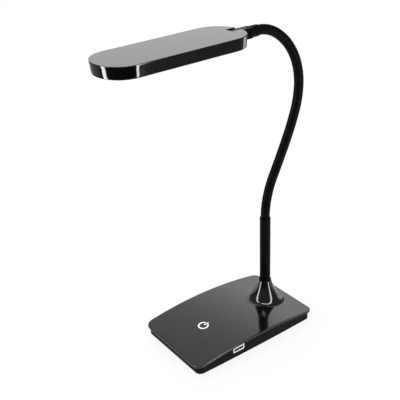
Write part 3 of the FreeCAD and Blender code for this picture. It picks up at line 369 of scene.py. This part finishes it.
def arc_points(centre, radius, first, last, steps):
    """Points on an arc, without its last one."""
    turns = [math.radians(first + (last - first) * k / steps) for k in range(steps)]
    return [Vector((centre[0] + radius * math.cos(t), centre[1] + radius * math.sin(t))) for t in turns]


def line_points(start, end, steps):
    """Points on a line, without its last one."""
    return [Vector(start).lerp(Vector(end), k / steps) for k in range(steps)]


def round_off(first=0):
    """Sine and cosine of the angles at which a rounded edge has its rings, up to a right angle."""
    turns = [math.pi / 2 * k / EDGE_STEPS for k in range(first, EDGE_STEPS + 1)]
    return [(math.sin(turn), math.cos(turn)) for turn in turns]


def box_mesh(mesh, low, high):
    corners = bmesh.ops.create_cube(mesh, size=1)["verts"]
    for vertex in corners:
        vertex.co = [l if c < 0 else h for c, l, h in zip(vertex.co, low, high)]


# Base cover: the crowned plate, its rounded rim and the trumpet that holds the stem, as one moulding


def crown_height(y):
    half = BASE_LENGTH / 2
    radius = half * half / (2 * CROWN_RISE) + CROWN_RISE / 2
    return COVER_TOP - radius + math.sqrt(radius * radius - y * y)


def base_outline(inset):
    """The base's plan outline, set in by inset: rounded corners, a straight front and back, and bowed sides."""
    reach = BASE_LENGTH / 2 - inset
    corner = max(BASE_CORNER_RADIUS - inset, BASE_LEAST_CORNER)

    def side(y):
        share = (y + BASE_LENGTH / 2) / BASE_LENGTH
        straight = BASE_FRONT_WIDTH / 2 + (BASE_BACK_WIDTH - BASE_FRONT_WIDTH) / 2 * share
        return straight + BASE_SIDE_BULGE * (1 - (2 * y / BASE_LENGTH) ** 2) - inset

    def side_points(sign, start, end):
        places = [start + (end - start) * k / BASE_SIDE_STEPS for k in range(BASE_SIDE_STEPS)]
        return [Vector((sign * side(y), y)) for y in places]

    low, high = -reach + corner, reach - corner
    front, back = side(low) - corner, side(high) - corner
    points = line_points((-front, -reach), (front, -reach), BASE_END_STEPS)
    points += arc_points((front, low), corner, -90, 0, BASE_CORNER_STEPS)
    points += side_points(1, low, high)
    points += arc_points((back, high), corner, 0, 90, BASE_CORNER_STEPS)
    points += line_points((back, reach), (-back, reach), BASE_END_STEPS)
    points += arc_points((-back, high), corner, 90, 180, BASE_CORNER_STEPS)
    points += side_points(-1, high, low)
    points += arc_points((-front, low), corner, 180, 270, BASE_CORNER_STEPS)
    return points


def socket_radius(share):
    """The trumpet's radius at a share of its height: a steep cone at the top that flares out into the crown."""
    flare = SOCKET_FOOT_RADIUS - SOCKET_TOP_RADIUS
    return SOCKET_FOOT_RADIUS - flare * share ** (1 / SOCKET_POWER)


def base_cover():
    stem = Vector((0, STEM_Y))
    foot = crown_height(STEM_Y)
    bearings = [(point - stem).normalized() for point in base_outline(0)]
    lip = SOCKET_TOP_RADIUS - STEM_BORE

    def level_ring(radius, z):
        return [Vector((*(stem + way * radius), z)) for way in bearings]

    def socket_ring(share, wall=0.0):
        """Tilted with the crown at the foot of the trumpet, and level from its middle up."""
        ring = []
        tilt = max(1 - share / SOCKET_LEVEL, 0) ** 2
        for way in bearings:
            x, y = stem + way * (socket_radius(share) - wall)
            rest = foot + (crown_height(y) - foot) * tilt
            ring.append(Vector((x, y, rest + (SOCKET_TOP - foot) * share - wall)))
        return ring

    def plate_ring(share, drop):
        """At a share of the way from the trumpet's foot to the rim, this much below the crown."""
        ring = []
        for way, edge in zip(bearings, base_outline(COVER_EDGE_ROUND)):
            x, y = (stem + way * SOCKET_FOOT_RADIUS).lerp(edge, share)
            ring.append(Vector((x, y, crown_height(y) - drop)))
        return ring

    def rim_ring(inset, drop):
        return [Vector((*edge, crown_height(edge.y) - drop)) for edge in base_outline(inset)]

    rings = [level_ring(STEM_BORE, SOCKET_TOP - lip / 2), level_ring(STEM_BORE, SOCKET_TOP)]
    rings.append(level_ring(STEM_BORE + lip / 2, SOCKET_TOP))
    rings += [socket_ring(share) for share in SOCKET_SHARES]
    rings += [plate_ring(k / PLATE_STEPS, 0) for k in range(PLATE_STEPS + 1)]
    for sine, cosine in round_off(1):
        rings.append(rim_ring(COVER_EDGE_ROUND * (1 - sine), COVER_EDGE_ROUND * (1 - cosine)))
    for sine, cosine in round_off():
        rings.append(rim_ring(LOWER_EDGE_ROUND * (1 - cosine), COVER_THICKNESS - LOWER_EDGE_ROUND * (1 - sine)))
    rings += [plate_ring(0.9, COVER_THICKNESS), plate_ring(0, COVER_THICKNESS)]
    rings += [socket_ring(share, COVER_THICKNESS) for share in HOLLOW_SHARES]
    rings.append(level_ring(STEM_BORE, SOCKET_TOP - STEM_SEAT_DEPTH))
    mesh = bmesh.new()
    join_rings(mesh, rings, closed=True)
    bmesh.ops.recalc_face_normals(mesh, faces=mesh.faces)
    dress(finish_mesh("cover_moulding", mesh), black_cover, "base_cover", "base", "base_cover")


def touch_sign():
    """The white power sign, let into the crown: a ring open at the back with a bar through its opening."""
    mesh = bmesh.new()

    def solid(pairs):
        """A strip between two edges, given as pairs of points, with sides that go down into the cover."""
        low, high = [], []
        for pair in pairs:
            low.append([mesh.verts.new((*spot, crown_height(spot[1]) - ICON_DEPTH)) for spot in pair])
            high.append([mesh.verts.new((*spot, crown_height(spot[1]) + ICON_RISE)) for spot in pair])
        for k in range(len(pairs) - 1):
            mesh.faces.new((high[k][0], high[k][1], high[k + 1][1], high[k + 1][0]))
            mesh.faces.new((low[k][1], low[k][0], low[k + 1][0], low[k + 1][1]))
            for side in (0, 1):
                mesh.faces.new((low[k][side], high[k][side], high[k + 1][side], low[k + 1][side]))
        for end in (0, -1):
            mesh.faces.new((low[end][0], low[end][1], high[end][1], high[end][0]))

    middle = Vector((0, ICON_Y))
    inner = ICON_RADIUS - ICON_STROKE
    ring = []
    for k in range(ICON_STEPS + 1):
        turn = math.radians(90 + ICON_GAP_ANGLE / 2 + (360 - ICON_GAP_ANGLE) * k / ICON_STEPS)
        way = Vector((math.cos(turn), math.sin(turn)))
        ring.append((middle + way * inner, middle + way * ICON_RADIUS))
    solid(ring)
    half = ICON_STROKE / 2
    bar = ICON_BAR_END - ICON_BAR_START
    places = [ICON_Y + ICON_BAR_START + bar * k / ICON_BAR_STEPS for k in range(ICON_BAR_STEPS + 1)]
    solid([(Vector((-half, y)), Vector((half, y))) for y in places])
    bmesh.ops.recalc_face_normals(mesh, faces=mesh.faces)
    piece = finish_mesh("touch_sign", mesh, smooth=False)
    dress(piece, light_guide, "touch_sign", "base", "icon_light_guide")


def usb_insulator():
    """The socket's tongue, which ends just inside the mouth."""
    low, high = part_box("usb_tongue")
    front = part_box("usb_shell")[1][0] - TONGUE_SETBACK
    mesh = bmesh.new()
    box_mesh(mesh, low, (front, high[1], high[2]))
    bmesh.ops.bevel(mesh, geom=mesh.edges[:], offset=TONGUE_BEVEL, segments=2, affect="EDGES")
    dress(finish_mesh("usb_insulator", mesh), white_plastic, "usb_insulator", "base", "usb_tongue")


def usb_flange():
    """The thin flange round the socket's mouth."""
    low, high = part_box("usb_shell")
    middle_y, middle_z = (low[1] + high[1]) / 2, (low[2] + high[2]) / 2
    half_y, half_z = (high[1] - low[1]) / 2, (high[2] - low[2]) / 2
    rings = []
    for out, forward in FLANGE_SECTION:
        x = high[0] + forward * MM
        corner = MOUTH_CORNER_RADIUS + out * MM
        reach_y, reach_z = half_y + out * MM - corner, half_z + out * MM - corner
        ring = []
        for first, y, z in ((0, 1, 1), (90, -1, 1), (180, -1, -1), (270, 1, -1)):
            centre = (middle_y + y * reach_y, middle_z + z * reach_z)
            ring += [(x, *point) for point in arc_points(centre, corner, first, first + 90, FLANGE_CORNER_STEPS)]
        rings.append(ring)
    mesh = bmesh.new()
    join_rings(mesh, rings, closed=True)
    bmesh.ops.recalc_face_normals(mesh, faces=mesh.faces)
    dress(finish_mesh("usb_flange", mesh), lit_flange_steel, "usb_steel", "base")


base_cover()
touch_sign()
usb_insulator()
usb_flange()


# Head shell


def head_place(point):
    """From the head's own axes, with the middle of its top face at zero, to the frame."""
    tilt = Matrix.Rotation(math.radians(HEAD_PITCH), 3, "X")
    hinge = Vector((0, HEAD_LENGTH / 2 - HINGE_SETBACK, -HINGE_DEPTH))
    return Vector(joints["head_tilt"]["pos_m"]) + tilt @ (Vector(point) - hinge)


def head_outline(inset):
    """A long slab with arcs across its ends and smaller arcs at its corners, set in by inset."""
    half = HEAD_WIDTH / 2 - inset
    end, corner = HEAD_END_RADIUS - inset, HEAD_CORNER_RADIUS - inset
    end_y = HEAD_LENGTH / 2 - HEAD_END_RADIUS
    corner_x = HEAD_WIDTH / 2 - HEAD_CORNER_RADIUS
    apart = HEAD_END_RADIUS - HEAD_CORNER_RADIUS
    corner_y = end_y + math.sqrt(apart * apart - corner_x * corner_x)
    turn = math.degrees(math.atan2(corner_y - end_y, corner_x))
    points = line_points((half, -corner_y), (half, corner_y), HEAD_SIDE_STEPS)
    points += arc_points((corner_x, corner_y), corner, 0, turn, HEAD_CORNER_STEPS)
    points += arc_points((0, end_y), end, turn, 180 - turn, HEAD_END_STEPS)
    points += arc_points((-corner_x, corner_y), corner, 180 - turn, 180, HEAD_CORNER_STEPS)
    points += line_points((-half, corner_y), (-half, -corner_y), HEAD_SIDE_STEPS)
    points += arc_points((-corner_x, -corner_y), corner, 180, 180 + turn, HEAD_CORNER_STEPS)
    points += arc_points((0, -end_y), end, 180 + turn, 360 - turn, HEAD_END_STEPS)
    points += arc_points((corner_x, -corner_y), corner, -turn, 0, HEAD_CORNER_STEPS)
    return points


def carve(piece, name, low, high, operation):
    """Cuts a box out of a piece, or joins one to it, for good."""
    mesh = bmesh.new()
    box_mesh(mesh, low, high)
    box = finish_mesh(name, mesh, smooth=False)
    change = piece.modifiers.new("carve", "BOOLEAN")
    change.object = box
    change.operation = operation
    change.solver = "EXACT"
    graph = bpy.context.evaluated_depsgraph_get()
    shaped = bpy.data.meshes.new_from_object(piece.evaluated_get(graph))
    piece.modifiers.clear()
    piece.data = shaped
    bpy.data.objects.remove(box)


def head_shell():
    """An open tray, upside down, with two cheeks at its far end and the hinge's notch between them."""
    slope = math.tan(math.radians(HEAD_DRAFT))

    def ring(inset, depth):
        return [Vector((*point, -depth)) for point in head_outline(inset)]

    rings = []
    for sine, cosine in round_off():
        depth = HEAD_EDGE_ROUND * (1 - cosine)
        rings.append(ring(HEAD_EDGE_ROUND * (1 - sine) + depth * slope, depth))
    for share in (0.25, 0.5, 0.75):
        rings.append(ring(HEAD_THICKNESS * share * slope, HEAD_THICKNESS * share))
    for sine, cosine in round_off():
        depth = HEAD_THICKNESS - LOWER_EDGE_ROUND * (1 - sine)
        rings.append(ring(depth * slope + LOWER_EDGE_ROUND * (1 - cosine), depth))
    rings.append(ring(HEAD_WALL, HEAD_THICKNESS))
    rings.append(ring(HEAD_WALL, HEAD_TOP_WALL))
    mesh = bmesh.new()
    rings = join_rings(mesh, rings)
    mesh.faces.new(rings[0])
    mesh.faces.new(rings[-1])
    bmesh.ops.recalc_face_normals(mesh, faces=mesh.faces)
    piece = finish_mesh("head_moulding", mesh)
    for polygon in piece.data.polygons:
        polygon.use_smooth = len(polygon.vertices) == 4
    far = HEAD_LENGTH / 2
    half = NOTCH_WIDTH / 2 + CHEEK_WIDTH
    low = (-half, far - CHEEK_DEPTH, LOWER_EDGE_ROUND - HEAD_THICKNESS)
    carve(piece, "lugs", low, (half, far - HEAD_WALL, -HEAD_TOP_WALL / 2), "UNION")
    low = (-NOTCH_WIDTH / 2, far - NOTCH_DEPTH, -HEAD_THICKNESS * 2)
    carve(piece, "notch", low, (NOTCH_WIDTH / 2, far * 2, HEAD_THICKNESS), "DIFFERENCE")
    for vertex in piece.data.vertices:
        vertex.co = head_place(vertex.co)
    dress(piece, black_gloss, "head", "head", "head_shell")


head_shell()


# Neck


def neck_points():
    """The neck's centreline at each joint and at its end, with its heading there.

    Each stretch is an arc, so its heading at one end mirrors the one at the other about the chord.
    """
    points = [Vector(joints[f"neck_joint_{i}"]["pos_m"]) for i in range(LINKS)]
    headings = [Vector((0, 0, 1))]
    for start, end in zip(points, points[1:]):
        chord = (end - start).normalized()
        headings.append((chord * (2 * chord.dot(headings[-1])) - headings[-1]).normalized())
    hinge = Vector(joints["head_tilt"]["pos_m"])
    pitch = math.radians(HEAD_PITCH)
    last = Vector((0, -math.cos(pitch), -math.sin(pitch)))
    points.append(hinge - last * HINGE_REACH)
    headings.append(last)
    return points, headings


neck, neck_headings = neck_points()


def neck_at(u):
    """The centre and heading at a place along the neck, counted in joints. Beyond its ends it runs straight."""
    if u <= 0:
        return neck[0] + neck_headings[0] * (u * LINK_LENGTH), neck_headings[0]
    if u >= LINKS:
        return neck[LINKS] + neck_headings[LINKS] * ((u - LINKS) * LINK_LENGTH), neck_headings[LINKS]
    i = int(u)
    share = u - i
    first, last = neck_headings[i], neck_headings[i + 1]
    turn = first.angle(last)
    if turn < 1e-5:
        return neck[i].lerp(neck[i + 1], share), first
    side = first.cross(last).normalized()
    rotate = Matrix.Rotation(turn * share, 3, side)
    chord = neck[i + 1] - neck[i]
    bend = chord.length / 2 / math.sin(turn / 2)
    centre = neck[i] + side.cross(first) * bend
    return centre + rotate @ (neck[i] - centre), (rotate @ first).normalized()


def sleeve_mesh(name, first, last):
    """A smooth tube along the neck between two places on it, open at both ends."""
    across = Vector((1, 0, 0))
    turns = [2 * math.pi * k / SLEEVE_SIDES for k in range(SLEEVE_SIDES)]
    rings = []
    for k in range(SLEEVE_STEPS + 1):
        centre, heading = neck_at(first + (last - first) * k / SLEEVE_STEPS)
        normal = heading.cross(across).normalized()
        ways = [across * math.cos(turn) + normal * math.sin(turn) for turn in turns]
        rings.append([centre + way * NECK_RADIUS for way in ways])
    mesh = bmesh.new()
    join_rings(mesh, rings)
    bmesh.ops.recalc_face_normals(mesh, faces=mesh.faces)
    sleeve = finish_mesh(name, mesh)
    sleeve.data.materials.append(black_satin)
    return sleeve


def neck_skins():
    """The sleeve in eleven lengths, each from the middle of a link to the middle of the next.

    Each bends over the joint between them, and the last one rides on the last link.
    """
    for i in range(LINKS):
        skin = sleeve_mesh(f"neck_sleeve_{i:02d}", SLEEVE_START if i == 0 else i - 0.5, i + 0.5)
        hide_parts(f"neck_link_{i:02d}")
        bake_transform(skin)
    tip = sleeve_mesh("neck_sleeve_10", LINKS - 0.5, SLEEVE_END)
    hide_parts("neck_link_10")
    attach(tip, "link_10")


neck_skins()


# Studio


def feed(tree, socket, value):
    """Gives a socket a number, or what another node puts out."""
    if isinstance(value, (int, float)):
        socket.default_value = value
    else:
        tree.links.new(value, socket)


def compute(tree, kind, *values):
    node = tree.nodes.new("ShaderNodeMath")
    node.operation = kind
    for socket, value in zip(node.inputs, values):
        feed(tree, socket, value)
    return node.outputs[0]


def compute_vector(tree, kind, way, other=None):
    node = tree.nodes.new("ShaderNodeVectorMath")
    node.operation = kind
    tree.links.new(way, node.inputs[0])
    if other:
        node.inputs[1].default_value = other
    return node.outputs


def blend_values(tree, share, low, high):
    """low where share is 0 and high where it is 1."""
    node = tree.nodes.new("ShaderNodeMix")
    for place, value in ((0, share), (2, low), (3, high)):
        feed(tree, node.inputs[place], value)
    return node.outputs[0]


def blend_shaders(tree, share, first, second):
    node = tree.nodes.new("ShaderNodeMixShader")
    for socket, source in zip(node.inputs, (share, first, second)):
        tree.links.new(source, socket)
    return node.outputs[0]


def fade(tree, value, start, end, most):
    """Nothing up to start, most from end on, and an even change between them."""
    node = tree.nodes.new("ShaderNodeMapRange")
    node.interpolation_type = "SMOOTHSTEP"
    for name, number in (("From Min", start), ("From Max", end), ("To Min", 0.0), ("To Max", most)):
        node.inputs[name].default_value = number
    tree.links.new(value, node.inputs["Value"])
    return node.outputs["Result"]


def sector(tree, way, bearing, core, edge):
    """1 where a level direction is within core degrees of a bearing, and 0 beyond edge degrees."""
    turn = math.radians(bearing)
    nearness = compute_vector(tree, "DOT_PRODUCT", way, (math.cos(turn), math.sin(turn), 0))["Value"]
    return fade(tree, nearness, math.cos(math.radians(edge)), math.cos(math.radians(core)), 1.0)


def seen_directly(tree, rays):
    """1 for what the camera sees, also through something clear."""
    return compute(tree, "MAXIMUM", rays["Is Camera Ray"], rays["Is Transmission Ray"])


def white_wall_shade(tree, up):
    """The white wall's light at this height."""
    shade = tree.nodes.new("ShaderNodeValToRGB")
    stops = shade.color_ramp.elements
    while len(stops) < len(WHITE_SHADES):
        stops.new(0.5)
    for stop, (z, value) in zip(stops, WHITE_SHADES):
        stop.position = z * 0.5 + 0.5
        stop.color = (value, value, value, 1)
    tree.links.new(compute(tree, "MULTIPLY_ADD", up, 0.5, 0.5), shade.inputs["Fac"])
    return compute(tree, "MULTIPLY", shade.outputs["Color"], WHITE_LIGHT)


def studio():
    """A white room for the camera, and dim walls for what reflects.

    Reflections show a white wall at the back left, brightest some 27 degrees above the table, a grey one behind the
    lamp and a low one at the left. The walls elsewhere are dim, and black below the table.
    """
    scene = bpy.context.scene
    scene.view_settings.view_transform = "Standard"
    world = bpy.data.worlds.new("studio")
    world.use_nodes = True
    scene.world = world
    tree = world.node_tree
    background = tree.nodes["Background"]
    background.inputs["Color"].default_value = (1, 1, 1, 1)
    rays = tree.nodes.new("ShaderNodeLightPath").outputs
    way = tree.nodes.new("ShaderNodeTexCoord").outputs["Generated"]
    height = tree.nodes.new("ShaderNodeSeparateXYZ")
    tree.links.new(way, height.inputs[0])
    up = height.outputs["Z"]
    level = compute_vector(tree, "MULTIPLY", way, (1, 1, 0))[0]
    level = compute_vector(tree, "NORMALIZE", level)[0]
    white = compute(tree, "MULTIPLY", white_wall_shade(tree, up), sector(tree, level, *WHITE_WALL))
    grey = compute(tree, "MULTIPLY", sector(tree, level, *GREY_WALL), GREY_LIGHT)
    low = compute(tree, "MULTIPLY", sector(tree, level, *LOW_WALL), fade(tree, up, *LOW_FADE, LOW_LIGHT))
    walls = compute(tree, "ADD", white, compute(tree, "ADD", grey, low))
    walls = compute(tree, "MAXIMUM", walls, fade(tree, up, *DIM_FADE, DIM_LIGHT))
    lit = blend_values(tree, rays["Is Glossy Ray"], ROOM_LIGHT, walls)
    strength = blend_values(tree, seen_directly(tree, rays), lit, 1.0)
    tree.links.new(strength, background.inputs["Strength"])


def floor():
    """A round of pale floor that turns white for the camera and for what reflects it, and keeps a faint shadow.

    It is clear from below, so that the underside can be seen.
    """
    mesh = bmesh.new()
    bmesh.ops.create_circle(mesh, cap_ends=True, segments=FLOOR_SIDES, radius=FLOOR_RADIUS)
    ground = finish_mesh("floor", mesh, smooth=False)
    for vertex in ground.data.vertices:
        vertex.co.z = FLOOR_DROP
    material = bpy.data.materials.new("pale_floor")
    material.use_nodes = True
    tree = material.node_tree
    tree.nodes.clear()
    rays = tree.nodes.new("ShaderNodeLightPath").outputs
    below = tree.nodes.new("ShaderNodeNewGeometry").outputs["Backfacing"]
    matt = tree.nodes.new("ShaderNodeBsdfDiffuse")
    matt.inputs["Color"].default_value = (*FLOOR_COLOUR, 1)
    white = tree.nodes.new("ShaderNodeEmission")
    clear = tree.nodes.new("ShaderNodeBsdfTransparent")
    end = tree.nodes.new("ShaderNodeOutputMaterial")
    seen = compute(tree, "MAXIMUM", seen_directly(tree, rays), rays["Is Glossy Ray"])
    share = compute(tree, "MULTIPLY", seen, FLOOR_WHITENING)
    top = blend_shaders(tree, share, matt.outputs[0], white.outputs[0])
    tree.links.new(blend_shaders(tree, below, top, clear.outputs[0]), end.inputs["Surface"])
    ground.data.materials.append(material)


def new_lamp(name, shape, watts):
    data = bpy.data.lights.new(name, "AREA")
    data.shape = shape
    data.energy = watts
    lamp = bpy.data.objects.new(name, data)
    lamp.visible_camera = False
    bpy.context.scene.collection.objects.link(lamp)
    return lamp


def turned(place, right, up):
    """The matrix of a camera or lamp at a place, from what is right and up in its view."""
    right, up = Vector(right), Vector(up)
    return Matrix.Translation(place) @ Matrix((right, up, right.cross(up))).transposed().to_4x4()


def key_light():
    """A large soft lamp overhead."""
    lamp = new_lamp("key", "DISK", KEY_WATTS)
    lamp.data.size = KEY_SIZE
    lamp.location = KEY_PLACE
    lamp.rotation_euler = (Vector(KEY_AIM) - Vector(KEY_PLACE)).to_track_quat("-Z", "Y").to_euler()
    lamp.visible_glossy = False


def strip_light(name, start, end, width, watts):
    """A long narrow lamp round the table, facing the lamp on it, that only shows in reflections."""
    start, end = Vector(start), Vector(end)
    lamp = new_lamp(name, "RECTANGLE", watts)
    lamp.data.size = width
    lamp.data.size_y = (end - start).length
    length_way = (end - start).normalized()
    middle = (start + end) / 2
    back = (middle - length_way * middle.dot(length_way)).normalized()
    lamp.matrix_world = turned(middle, length_way.cross(back), length_way)
    lamp.visible_diffuse = False


def camera():
    data = bpy.data.cameras.new("camera")
    data.sensor_width = CAMERA_SENSOR
    data.lens = CAMERA_LENS
    viewer = bpy.data.objects.new("camera", data)
    viewer.matrix_world = turned(CAMERA_PLACE, CAMERA_RIGHT, CAMERA_UP)
    bpy.context.scene.collection.objects.link(viewer)
    bpy.context.scene.camera = viewer


studio()
floor()
key_light()
for strip in STRIPS:
    strip_light(*strip)
camera()
